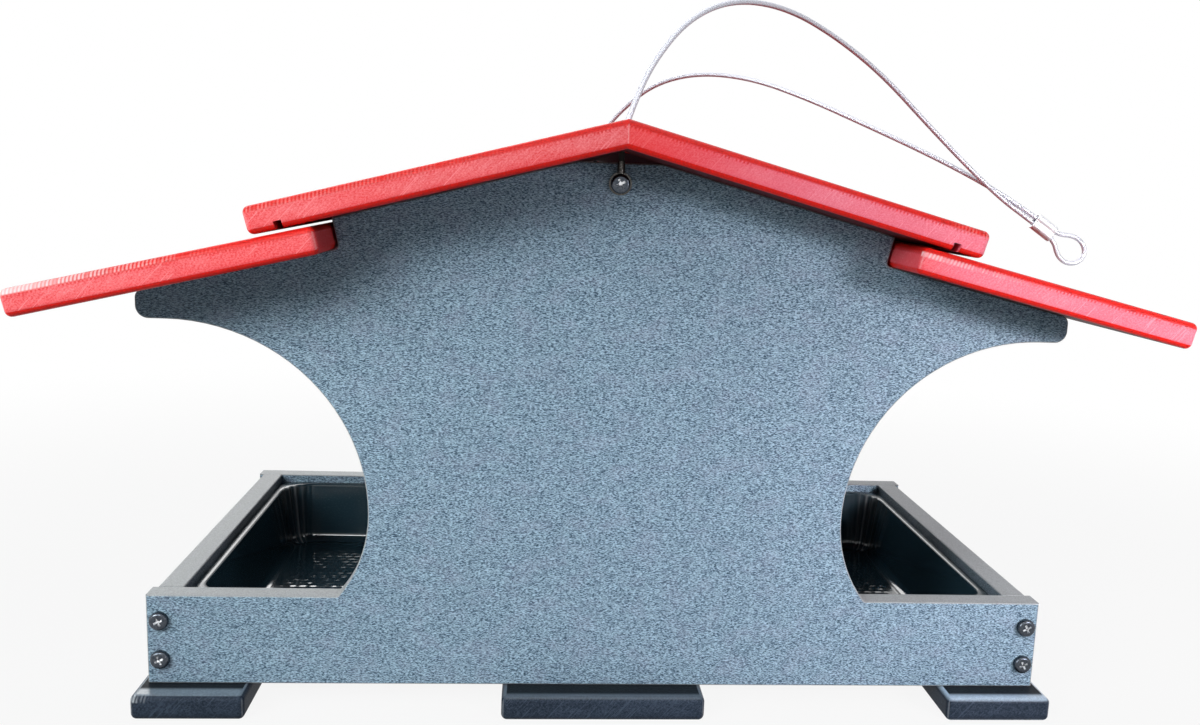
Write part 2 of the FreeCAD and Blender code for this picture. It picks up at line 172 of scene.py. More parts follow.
class Graph(Nodes):
    """Node tree of one material, with object coordinates."""

    def __init__(self, name: str) -> None:
        """Start a material with its own surface shader.

        Args:
            name: name of the material.
        """
        self.material = bpy.data.materials.new(name)
        self.material.use_nodes = True
        super().__init__(self.material.node_tree)
        self.surface = self.tree.nodes["Principled BSDF"]
        where = self.add("ShaderNodeTexCoord")
        self.place = where.outputs["Object"]
        self.facing = where.outputs["Normal"]

    def at(self, axis: Axis) -> Socket:
        """Place along an axis of the frame."""
        return self.along(self.place, axis.value)

    def off(self, axis: Axis) -> Socket:
        """Distance from the frame's origin along an axis, either way."""
        return self.calc("ABSOLUTE", self.at(axis))

    def squarely(self, direction: Triple) -> Socket:
        """How squarely the surface faces along a direction, either way."""
        return self.calc("ABSOLUTE", self.along(self.facing, direction))

    def noise(self, size: Triple, detail: float = 2.0, rough: float = 0.5, turn: Triple = (0.0, 0.0, 0.0),
              shift: Triple = (0.0, 0.0, 0.0), warp: float = 0.0) -> Socket:
        """Noise in object space.

        Args:
            size: length of a fleck along each of its own axes, in metres.
            detail: finer layers on top of the first.
            rough: strength of those layers.
            turn: turn of the flecks' axes, in radians.
            shift: start of the pattern, in metres, so that two patterns differ.
            warp: how far the flecks are bent.

        Returns:
            A value around one half.
        """
        place = {"Vector": self.place, "Location": shift, "Rotation": turn, "Scale": size}
        mapped = self.add("ShaderNodeMapping", place, vector_type="TEXTURE").outputs["Vector"]
        layers = {"Vector": mapped, "Scale": 1.0, "Detail": detail, "Roughness": rough, "Distortion": warp}
        return self.add("ShaderNodeTexNoise", layers).outputs[0]

    def bump(self, height: object, depth: float) -> Socket:
        """Normal of a relief whose height from 0 to 1 stands for a real depth in metres."""
        relief = {"Strength": 1.0, "Distance": depth, "Height": height}
        return self.add("ShaderNodeBump", relief).outputs["Normal"]

    def finish(self, **values: object) -> Material:
        """Set the surface shader's sockets.

        Args:
            values: socket names in small letters with underscores, and their values or sources.

        Returns:
            The material.
        """
        names = {socket.name.lower().replace(" ", "_"): socket.name for socket in self.surface.inputs}
        for key, value in values.items():
            self.put(self.surface.inputs[names[key]], value)
        return self.material


@dataclass(frozen=True)
class StippledSheet:
    """Grey plastic sheet: stippled on both faces, plain where it was cut."""

    name: str
    face: Axis
    grain: Axis
    dark: Colour = (0.017, 0.049, 0.084)
    light: Colour = (0.375, 0.522, 0.640)
    lavender: Colour = (0.31, 0.31, 0.43)
    lavender_share: float = 0.14
    cut: Colour = (0.38, 0.40, 0.415)
    cut_shade: float = 0.72
    cut_speck: float = 0.6 * MM
    fleck: float = 0.36 * MM
    fleck_long: float = 1.20 * MM
    patch: Triple = (16.0 * MM, 16.0 * MM, 11.0 * MM)
    relief: float = 0.20 * MM

    def material(self) -> Material:
        """Material of the sheet.

        Flecks are a noise stretched along the grain, which is also the relief. A slow noise shifts the tint
        towards lavender. Faces are told from cut edges by the part of the normal along the face's axis.

        Returns:
            The material.
        """
        graph = Graph(self.name)
        size = tuple(self.fleck_long if on else self.fleck for on in self.grain.value)
        grain = graph.noise(size, detail=1.2, warp=0.6)
        tone = graph.mix(graph.step(grain, 0.33, 0.69), self.dark, self.light)
        patch = graph.step(graph.noise(self.patch, shift=(0.7, 0.0, 0.4)), 0.45, 0.70)
        tinted = graph.mix(patch, tone, graph.mix(self.lavender_share, tone, self.lavender))
        darker = tuple(self.cut_shade * value for value in self.cut)
        edge = graph.mix(graph.step(graph.noise((self.cut_speck,) * 3), 0.35, 0.65), darker, self.cut)
        on_face = graph.step(graph.squarely(self.face.value), 0.90, 0.985)
        return graph.finish(
            base_color=graph.mix(on_face, edge, tinted),
            roughness=graph.blend(grain, 0.52, 0.36),
            normal=graph.bump(graph.times(grain, on_face), self.relief),
            specular_ior_level=0.3,
        )


@dataclass(frozen=True)
class BoardTones:
    """Colours of one thick board, and how strongly its faces (gloss) and its upper edges (polish) mirror.

    Sawn faces go from `sawn` to `fuzz`, upper routed edges from `routed_dark` to `routed` and lower ones from
    `routed` to `lower_edge_and_bounce`; `tick` is the saw's pale mark. Upper and lower edges are lit and
    shaded copies: on red boards the lower edges' brighter tone is painted light from below, and on black
    boards the pale routed tones are a painted highlight. `underside`, on sheet faces that look down, is a
    painted shade.
    """

    underside: Colour
    sheet_dark: Colour
    sheet_light: Colour
    sawn: Colour
    fuzz: Colour
    routed_dark: Colour
    routed: Colour
    lower_edge_and_bounce: Colour
    tick: Colour
    gloss: float
    polish: float


# Red: the lower edges' bright tone is painted light from below, the underside a painted shade.
RED = BoardTones(
    underside=(0.055, 0.004, 0.005),
    sheet_dark=(0.26, 0.006, 0.005),
    sheet_light=(0.52, 0.016, 0.011),
    sawn=(0.85, 0.045, 0.050),
    fuzz=(0.98, 0.25, 0.27),
    routed_dark=(0.58, 0.008, 0.006),
    routed=(0.74, 0.017, 0.012),
    lower_edge_and_bounce=(0.98, 0.014, 0.008),
    tick=(0.95, 0.70, 0.71),
    gloss=0.14,
    polish=0.20,
)
# Black: the pale routed tones are a painted highlight, the underside a painted shade.
BLACK = BoardTones(
    underside=(0.004, 0.005, 0.006),
    sheet_dark=(0.004, 0.006, 0.008),
    sheet_light=(0.012, 0.016, 0.021),
    sawn=(0.008, 0.013, 0.022),
    fuzz=(0.040, 0.056, 0.084),
    routed_dark=(0.120, 0.155, 0.190),
    routed=(0.200, 0.255, 0.310),
    lower_edge_and_bounce=(0.030, 0.040, 0.054),
    tick=(0.55, 0.58, 0.62),
    gloss=0.10,
    polish=0.90,
)


@dataclass(frozen=True)
class SawMarks:
    """Pale strokes that the saw left along a board's top edge, strongest at one place and gone at another.

    They lie between two depths under the top face.
    """

    strong_at: float
    gone_at: float
    strength: float = 1.0
    shallow: float = -1.0 * MM
    deep: float = 3.4 * MM
    shallow_fade: float = 0.5 * MM
    deep_fade: float = 0.6 * MM


@dataclass(frozen=True)
class CoolSheen:
    """Change of a sawn face along its board: deeper in colour at first, and a pale painted sheen of cool
    light where full.
    """

    start: float = 0.0
    full: float = 1.0
    deeper: float = 0.0
    share: float = 0.0
    deep_tone: Colour = (0.92, 0.020, 0.020)
    sheen_tone: Colour = (0.80, 0.42, 0.66)


class BoardGraph(Graph):
    """Material of a leaning board, with places and noises in the board's own axes.

    `depth` is the distance under the top face and `run` the one along the board; `flat`, `front` and `end`
    are how squarely the surface faces the sheet's normal, Y and the board; `upper` is 1 where it looks up.
    """

    def __init__(self, name: str, lean: float, top: float) -> None:
        """Start the material of a board.

        Args:
            name: name of the material.
            lean: the board's turn about Y, in radians.
            top: distance from the origin to its top face, along the face's normal.
        """
        super().__init__(name)
        upward = (math.sin(lean), 0.0, math.cos(lean))
        lengthwise = (math.cos(lean), 0.0, -math.sin(lean))
        self.flat, self.front, self.end = map(self.squarely, (upward, Axis.Y.value, lengthwise))
        self.depth = self.calc("SUBTRACT", top, self.along(self.place, upward))
        self.run = self.along(self.place, lengthwise)
        self.upper = self.step(self.along(self.facing, Axis.Z.value), -0.1, 0.3)
        self.stipple = self.noise((1.6 * MM, 1.1 * MM, 1.6 * MM), detail=2.5, rough=0.6, warp=0.3)
        self.fuzz = self.noise((0.9 * MM, 0.9 * MM, 0.7 * MM), detail=3.0, rough=0.65, shift=(0.1, 0.2, 0.3))


@dataclass(frozen=True)
class SawnBoard:
    """Thick plastic board: stippled sheet faces, fuzzy sawn ends and smooth routed edges.

    Edges give way to sawn faces between `sawn_below` and `sawn_full`, parts of the normal along the
    sheet's own. Outward from `nose_sheen_from`, where it is given, the top face takes the edges' tone and
    gloss; that pale tone there is a painted reflection.
    """

    name: str
    tones: BoardTones
    lean: float
    top: float
    marks: SawMarks
    cool_sheen: CoolSheen = CoolSheen()
    stroke: Triple = (3.4 * MM, 2.0 * MM, 0.5 * MM)
    scratch: Triple = (24.0 * MM, 3.0 * MM, 0.6 * MM)
    stroke_turn: Triple = (0.0, -0.85, 0.0)
    stroke_share: Pair = (0.18, 0.36)
    fuzz_share: float = 0.62
    worn_share: float = 0.16
    scratch_share: float = 0.8
    end_shade_share: float = 0.35
    pale_depth: Pair = (15.0 * MM, 6.5 * MM)
    tick_pitch: float = 1.75 * MM
    tick_slant: float = 0.20
    edge_zone: float = 2.2 * MM
    edge_fade: Pair = (3.2 * MM, 2.4 * MM)
    tooth: float = 2.2 * MM
    tooth_share: float = 0.8
    stipple_relief: float = 0.16 * MM
    seam: Pair = (0.5 * MM, 0.1 * MM)
    seam_share: float = 0.24
    corner_share: float = 0.18
    sawn_below: float = 0.32
    sawn_full: float = 0.20
    nose_sheen_from: float | None = None
    nose_sheen_fade: float = 4.0 * MM

    def face(self, graph: BoardGraph) -> Socket:
        """Colour of the sawn faces.

        Strokes of the saw are a noise stretched along a slant, and long scratches another. A slow noise
        makes the face paler in places; its lowest third is darker, and its ends are darker as painted shade.
        The painted cool sheen lies on top.

        Args:
            graph: the board's nodes.

        Returns:
            The colour.
        """
        stroke = graph.noise(self.stroke, rough=0.6, turn=self.stroke_turn, shift=(0.4, 0.0, 0.1))
        scratch = graph.noise(self.scratch, detail=0.0, turn=self.stroke_turn, shift=(0.2, 0.0, 0.6))
        worn = graph.step(graph.noise((0.045, 0.05, 0.016), shift=(0.9, 0.1, 0.0)), 0.36, 0.64)
        haze = graph.plus(
            graph.times(graph.step(graph.fuzz, 0.34, 0.66), self.fuzz_share),
            graph.times(graph.step(stroke, 0.38, 0.66), graph.blend(worn, *self.stroke_share)),
            graph.times(worn, self.worn_share),
        )
        haze = graph.times(haze, graph.step(graph.depth, *self.pale_depth))
        haze = graph.plus(haze, graph.times(graph.step(scratch, 0.72, 0.79), self.scratch_share))
        # Painted shade: the ends keep only part of the pale haze.
        haze = graph.times(haze, graph.blend(graph.step(graph.end, 0.75, 0.95), 1.0, self.end_shade_share))
        colour = graph.mix(haze, self.tones.sawn, self.tones.fuzz)
        if self.cool_sheen.share == 0.0:
            return colour
        # Painted sheen: along the board the face turns from a deeper red to a pale cool tone.
        way = graph.step(graph.run, self.cool_sheen.start, self.cool_sheen.full)
        over = graph.mix(way, self.cool_sheen.deep_tone, self.cool_sheen.sheen_tone)
        return graph.mix(graph.blend(way, self.cool_sheen.deeper, self.cool_sheen.share), colour, over)

    def saw(self, graph: BoardGraph) -> tuple[Socket, Socket, Socket]:
        """Marks of the saw.

        Strokes are a sine along the board, broken up by a noise. Pale ticks lie between two depths and
        run together where they are strongest, and teeth of the edge's colour hang into the face. Thin pale
        lines lie on the upright corners and at the mitre of the ridge.

        Args:
            graph: the board's nodes.

        Returns:
            Shares of the ticks, the teeth and the lines.
        """
        marks, depth = self.marks, graph.depth
        slanted = graph.plus(graph.run, graph.times(depth, self.tick_slant))
        wave = graph.calc("SINE", graph.times(slanted, 2.0 * math.pi / self.tick_pitch))
        jitter = graph.noise((2.6 * MM, 0.5, 0.5), detail=1.0, shift=(0.15, 0.0, 0.0))
        strokes = graph.times(graph.step(wave, -0.6, 0.6), graph.step(jitter, 0.25, 0.55))
        here = graph.times(graph.step(graph.run, marks.gone_at, marks.strong_at), marks.strength)
        zone = graph.times(
            graph.step(depth, marks.deep + marks.deep_fade, marks.deep - marks.deep_fade),
            graph.step(depth, marks.shallow - marks.shallow_fade, marks.shallow + marks.shallow_fade),
        )
        solid = graph.blend(graph.calc("POWER", here, 3.0), strokes, 1.0)
        ticks = graph.times(solid, zone, here, graph.step(graph.front, 0.10, 0.35))
        broken = graph.noise((0.06, 0.5, 0.5), rough=0.6, shift=(0.35, 0.0, 0.0))
        teeth = graph.times(strokes, graph.step(broken, 0.30, 0.50))
        teeth = graph.calc("MAXIMUM", teeth, graph.step(depth, *self.edge_fade))
        reach = graph.step(depth, self.edge_zone + self.tooth, self.edge_zone + 0.4 * self.tooth)
        teeth = graph.times(teeth, reach, self.tooth_share)
        seam = graph.times(graph.step(graph.off(Axis.X), *self.seam), self.seam_share)
        corner = graph.step(graph.calc("MINIMUM", graph.front, graph.end), 0.52, 0.68)
        return ticks, teeth, graph.calc("MAXIMUM", seam, graph.times(corner, self.corner_share))

    def material(self) -> Material:
        """Material of the board.

        Where the normal is square to the sheet's own it is a sawn face, where it lies along it a sheet
        face, and between them a routed edge. Teeth, lines and ticks lie over the sawn faces.

        Returns:
            The material.
        """
        graph, tones = BoardGraph(self.name, self.lean, self.top), self.tones
        on_sawn = graph.step(graph.flat, self.sawn_below, self.sawn_full)
        on_sheet = graph.step(graph.flat, 0.975, 0.995)
        # Painted reflection: near the front the top face takes the routed edges' pale tone.
        if self.nose_sheen_from is not None:
            back = graph.step(graph.off(Axis.Y), self.nose_sheen_from + self.nose_sheen_fade, self.nose_sheen_from)
            on_sheet = graph.times(on_sheet, back)
        sheet = graph.mix(graph.step(graph.stipple, 0.3, 0.7), tones.sheet_dark, tones.sheet_light)
        # Painted shade: sheet faces that look down take the darker underside tone.
        under = graph.mix(graph.times(graph.stipple, 0.3), tones.underside, tones.sheet_dark)
        sheet = graph.mix(graph.upper, under, sheet)
        rubbed = graph.step(graph.fuzz, 0.35, 0.7)
        # Painted light: upper and lower routed edges take lit and shaded tones of their own.
        routed = graph.mix(graph.upper, graph.mix(rubbed, tones.routed, tones.lower_edge_and_bounce),
                           graph.mix(rubbed, tones.routed_dark, tones.routed))
        ticks, teeth, lines = self.saw(graph)
        sawn = graph.mix(lines, graph.mix(teeth, self.face(graph), routed), tones.tick)
        body = graph.mix(on_sawn, graph.mix(on_sheet, routed, sheet), sawn)
        relief = graph.plus(graph.times(graph.fuzz, on_sawn), graph.times(graph.stipple, on_sheet))
        plain = graph.calc("MAXIMUM", on_sawn, on_sheet)
        polish = graph.blend(graph.upper, tones.gloss, tones.polish)
        return graph.finish(
            base_color=graph.mix(ticks, body, tones.tick),
            roughness=graph.blend(plain, 0.32, 0.55),
            normal=graph.bump(relief, self.stipple_relief),
            specular_ior_level=graph.blend(plain, polish, tones.gloss),
        )


@dataclass(frozen=True)
class GlossyTray:
    """Black moulded plastic with a high gloss and faint flow marks."""

    lip_from: float
    name: str = "black_moulded_tray"
    base: Colour = (0.013, 0.030, 0.042)
    worn: Colour = (0.022, 0.042, 0.055)
    painted_crest_highlight: Colour = (0.16, 0.18, 0.20)
    patch: Triple = (0.04, 0.03, 0.02)
    rub: Triple = (7.0 * MM, 0.6 * MM, 0.6 * MM)
    lip_fade: float = 0.5 * MM
    relief: float = 0.05 * MM

    def material(self) -> Material:
        """Black base with slow dull patches, fine rub marks, a painted highlight along the crests of the
        flutes and a satin lip.

        Returns:
            The material.
        """
        graph = Graph(self.name)
        patch = graph.noise(self.patch, detail=3.0, rough=0.6)
        rub = graph.noise(self.rub, turn=(0.0, 0.0, 0.5), shift=(0.2, 0.0, 0.0))
        dull = graph.times(graph.step(patch, 0.4, 0.7), graph.step(rub, 0.5, 0.75))
        # Painted highlight: pale lines along the flutes' crests, from the mesh's attribute.
        painted_crest_highlight = graph.add("ShaderNodeAttribute", attribute_name=PAINTED_CREST_HIGHLIGHT).outputs["Fac"]
        on_lip = graph.step(graph.at(Axis.Z), self.lip_from - self.lip_fade, self.lip_from + self.lip_fade)
        return graph.finish(
            base_color=graph.mix(painted_crest_highlight, graph.mix(dull, self.base, self.worn), self.painted_crest_highlight),
            roughness=graph.blend(on_lip, graph.blend(dull, 0.07, 0.16), 0.20),
            normal=graph.bump(patch, self.relief),
            ior=1.5,
        )


@dataclass(frozen=True)
class PlatedSteel:
    """Plated metal with fine wear, for plain screws, terminals and the ferrule."""

    name: str
    base: Colour
    worn: Colour
    rough: float
    speck: float = 0.5 * MM
    polish: float = 0.6
    relief: float = 0.02 * MM

    def material(self) -> Material:
        """Metal whose tone and polish change in small specks.

        Returns:
            The material.
        """
        graph = Graph(self.name)
        speck = graph.noise((self.speck,) * 3, detail=2.5, rough=0.6)
        worn = graph.step(speck, 0.38, 0.68)
        return graph.finish(
            base_color=graph.mix(worn, self.base, self.worn),
            metallic=1.0,
            roughness=graph.blend(worn, self.rough, self.polish * self.rough),
            normal=graph.bump(speck, self.relief),
        )


@dataclass(frozen=True)
class CrossHead:
    """Dark plated screws whose dark tone is a painted reflection of dark surroundings, with painted glints
    of bright metal in their cross recesses.

    The heads face along Y at both ends of the feeder, at plus and minus `across` and at `level` plus and
    minus `apart`; `face` is how far out they reach.
    """

    name: str
    across: float
    level: float
    apart: float
    face: float
    plate: Colour = (0.045, 0.055, 0.070)
    worn: Colour = (0.105, 0.115, 0.130)
    bright: Colour = (0.90, 0.91, 0.93)
    speck: float = 0.6 * MM
    rub: float = 1.3 * MM
    recess: float = 2.7 * MM
    recess_fade: float = 0.2 * MM
    under: Pair = (0.1 * MM, 0.3 * MM)
    relief: float = 0.02 * MM

    def material(self) -> Material:
        """Dark metal in small specks as a painted dark reflection, with a painted glint where a point lies
        close to a head's axis and under its face.

        Returns:
            The material.
        """
        graph = Graph(self.name)
        speck = graph.noise((self.speck,) * 3, detail=2.5, rough=0.6)
        side = graph.calc("SUBTRACT", graph.off(Axis.X), self.across)
        rise = graph.calc("ABSOLUTE", graph.calc("SUBTRACT", graph.at(Axis.Z), self.level))
        rise = graph.calc("SUBTRACT", rise, self.apart)
        far = graph.calc("SQRT", graph.plus(graph.times(side, side), graph.times(rise, rise)))
        near = graph.step(far, self.recess + self.recess_fade, self.recess)
        under = graph.step(graph.off(Axis.Y), *(self.face - depth for depth in self.under))
        # Painted glints in the cross recesses, broken up by a noise.
        shine = graph.times(near, under, graph.step(graph.noise((self.rub,) * 3, detail=1.0), 0.36, 0.52))
        plate = graph.mix(graph.step(speck, 0.38, 0.68), self.plate, self.worn)
        return graph.finish(
            base_color=graph.mix(shine, plate, self.bright),
            metallic=1.0,
            roughness=graph.blend(shine, 0.26, 0.45),
            normal=graph.bump(speck, self.relief),
        )


@dataclass(frozen=True)
class VinylJacket:
    """Thin milky vinyl over twisted bright wires, with a painted shade where the cable runs down under the
    roof to the terminals.

    `shine` is the share of what shows of the wires, which mirror like metal.
    """

    name: str = "milky_vinyl_jacket"
    strands: int = 6
    ridge: Colour = (0.66, 0.67, 0.73)
    valley: Colour = (0.58, 0.59, 0.66)
    shine: float = 0.65
    cloud: float = 9.0 * MM
    roof_shade: Colour = (0.045, 0.045, 0.043)
    roof_shade_below: float = 290.0 * MM
    roof_shade_beyond: float = 115.0 * MM
    roof_shade_fade: Pair = (1.0 * MM, 2.0 * MM)

    def material(self) -> Material:
        """Pale stripes that wind round the cable, and a painted shade below the roof at both ends.

        A stripe is a sine of the turn round the cable less the run along it, both from the cable's own map.

        Returns:
            The material.
        """
        graph = Graph(self.name)
        wound = graph.add("ShaderNodeUVMap", uv_map=TWIST).outputs["UV"]
        pace = 2.0 * math.pi * self.strands
        stripe = graph.step(graph.calc("SINE", graph.along(wound, (pace, -pace, 0.0))), -1.0, 1.0)
        # Painted shade: dark, plain tone where the cable runs low under the roof near both terminals.
        low = graph.step(graph.at(Axis.Z), self.roof_shade_below + self.roof_shade_fade[0], self.roof_shade_below)
        out = graph.step(graph.off(Axis.Y), self.roof_shade_beyond, self.roof_shade_beyond + self.roof_shade_fade[1])
        roof_shaded = graph.times(low, out)
        return graph.finish(
            base_color=graph.mix(roof_shaded, graph.mix(stripe, self.valley, self.ridge), self.roof_shade),
            metallic=graph.blend(roof_shaded, self.shine, 0.0),
            roughness=graph.blend(graph.noise((self.cloud,) * 3), 0.40, 0.55),
            specular_ior_level=0.05,
        )


def make_object(name: str, points: np.ndarray, faces: list[list[int]], smooth: bool = True) -> Piece:
    """Mesh object at the origin.

    Args:
        name: name of the piece.
        points: its corners, one row each, in metres.
        faces: indices of each face's corners, seen from outside against the clock.
        smooth: whether the faces are shaded as one round surface.

    Returns:
        The object, linked to the scene.
    """
    mesh = bpy.data.meshes.new(name)
    mesh.from_pydata(points.tolist(), [], faces)
    mesh.validate()
    mesh.polygons.foreach_set("use_smooth", np.full(len(mesh.polygons), smooth))
    mesh.update()
    piece = bpy.data.objects.new(name, mesh)
    bpy.context.scene.collection.objects.link(piece)
    return piece


def cells(index: np.ndarray) -> np.ndarray:
    """Four-cornered faces between the rows and columns of a grid of corners."""
    corners = [index[:-1, :-1], index[:-1, 1:], index[1:, 1:], index[1:, :-1]]
    return np.stack(corners, axis=-1).reshape(-1, 4)


def closed(index: np.ndarray) -> np.ndarray:
    """Grid of corners with its first column again after its last one."""
    return np.concatenate([index, index[:, :1]], axis=1)


@dataclass
class PhotoCamera:
    """Camera at the photograph's viewing angle."""

    place: Triple = (-0.03970, -0.68909, 0.26794)
    pitch: float = -0.1750
    yaw: float = -0.0774
    roll: float = 0.0370
    focal_px: float = 1157.9
    wide_px: float = 1200.0
    high_px: float = 725.0
    middle_px: Pair = (620.78, 389.35)
    sensor: float = 36.0
    near: float = 0.01
    far: float = 50.0

    def build(self) -> Piece:
        """Make the camera and set it as the scene's own.

        Its view is turned by yaw about Z, by pitch about its own right and by roll about itself. A camera
        looks down at first, so that a quarter turn comes on top of the pitch.

        Returns:
            The camera.
        """
        data = bpy.data.cameras.new("photo_camera")
        data.sensor_fit = "HORIZONTAL"
        data.sensor_width = self.sensor
        data.lens = self.sensor * self.focal_px / self.wide_px
        data.shift_x = 0.5 - self.middle_px[0] / self.wide_px
        data.shift_y = (self.middle_px[1] - self.high_px / 2) / self.wide_px
        data.clip_start = self.near
        data.clip_end = self.far
        camera = bpy.data.objects.new("photo_camera", data)
        stand = Matrix.Translation(self.place)
        for turn, axis in ((self.yaw, "Z"), (self.pitch + math.pi / 2, "X"), (self.roll, "Z")):
            stand = stand @ Matrix.Rotation(turn, 4, axis)
        camera.matrix_world = stand
        bpy.context.scene.collection.objects.link(camera)
        bpy.context.scene.camera = camera
        return camera


@dataclass(frozen=True)
class Softbox:
    """Rectangular soft lamp that faces a point of the feeder and fans out by its spread, in degrees."""

    name: str
    place: Triple
    wide: float
    high: float
    power: float
    tone: Colour = WHITE
    aim: Triple = (0.0, -0.1, 0.15)
    spread: float = 180.0

    def build(self) -> None:
        """Make the lamp, with its front towards its aim."""
        data = bpy.data.lights.new(self.name, "AREA")
        data.shape = "RECTANGLE"
        data.size = self.wide
        data.size_y = self.high
        data.energy = self.power
        data.color = self.tone
        data.spread = math.radians(self.spread)
        lamp = bpy.data.objects.new(self.name, data)
        lamp.location = self.place
        lamp.rotation_euler = (Vector(self.aim) - Vector(self.place)).to_track_quat("-Z", "Y").to_euler()
        bpy.context.scene.collection.objects.link(lamp)


@dataclass
class Studio:
    """Pale floor, white surroundings and soft lamps."""

    floor_half: float = 6.0
    floor_tone: Colour = (0.42, 0.42, 0.42)
    floor_glow: float = 0.90
    glow_near: float = 0.30
    glow_far: float = 1.10
    ambient: Colour = (0.92, 0.97, 1.0)
    ambient_strength: float = 0.03
    lamps: tuple[Softbox, ...] = (
        Softbox("key_softbox", (-0.33, -1.00, 0.75), 0.16, 0.40, 0.12,
                (0.98, 1.0, 0.99), (-0.17, -0.13, 0.10), 30.0),
        Softbox("high_softbox", (0.05, -0.75, 1.25), 1.40, 0.40, 3.9, (0.97, 1.0, 1.0)),
        Softbox("left_softbox", (-0.85, -0.85, 0.62), 0.66, 0.50, 1.38,
                (0.95, 1.0, 1.0), (-0.17, -0.13, 0.16), 50.0),
        Softbox("right_softbox", (0.62, -0.75, 0.36), 0.34, 0.14, 0.63,
                (1.0, 0.95, 1.0), (0.28, -0.13, 0.12), 45.0),
        Softbox("top_softbox", (0.10, 0.30, 1.50), 1.20, 1.20, 5.0),
        Softbox("rear_softbox", (-0.30, 1.30, 0.90), 1.00, 0.70, 10.0),
    )

    def surroundings(self) -> None:
        """World that is white where it is seen and dimmer as light."""
        world = bpy.data.worlds.new("white_surroundings")
        world.use_nodes = True
        nodes = Nodes(world.node_tree)
        dim = nodes.tree.nodes["Background"]
        nodes.put(dim.inputs["Color"], self.ambient)
        nodes.put(dim.inputs["Strength"], self.ambient_strength)
        white = nodes.add("ShaderNodeBackground", {"Color": WHITE, "Strength": 1.0})
        nodes.show(nodes.seen(), dim, white, "World Output")
        bpy.context.scene.world = world

    def floor(self) -> None:
        """Flat floor that looks white, wholly so far away, and keeps a faint shadow near the feeder."""
        half = self.floor_half
        points = np.array([(-half, -half, 0.0), (half, -half, 0.0), (half, half, 0.0), (-half, half, 0.0)])
        plane = make_object("studio_floor", points, [[0, 1, 2, 3]], smooth=False)
        graph = Graph("white_floor")
        paint = graph.finish(base_color=self.floor_tone, roughness=1.0, specular_ior_level=0.0)
        plane.data.materials.append(paint)
        away = graph.add("ShaderNodeVectorMath", {0: graph.place}, operation="LENGTH").outputs["Value"]
        far = graph.step(away, self.glow_near, self.glow_far)
        share = graph.times(graph.seen(), graph.blend(far, self.floor_glow, 1.0))
        graph.show(share, graph.surface, graph.add("ShaderNodeEmission", {"Color": WHITE}), "Material Output")

    def build(self) -> None:
        """Set up the whole studio."""
        self.surroundings()
        self.floor()
        for lamp in self.lamps:
            lamp.build()


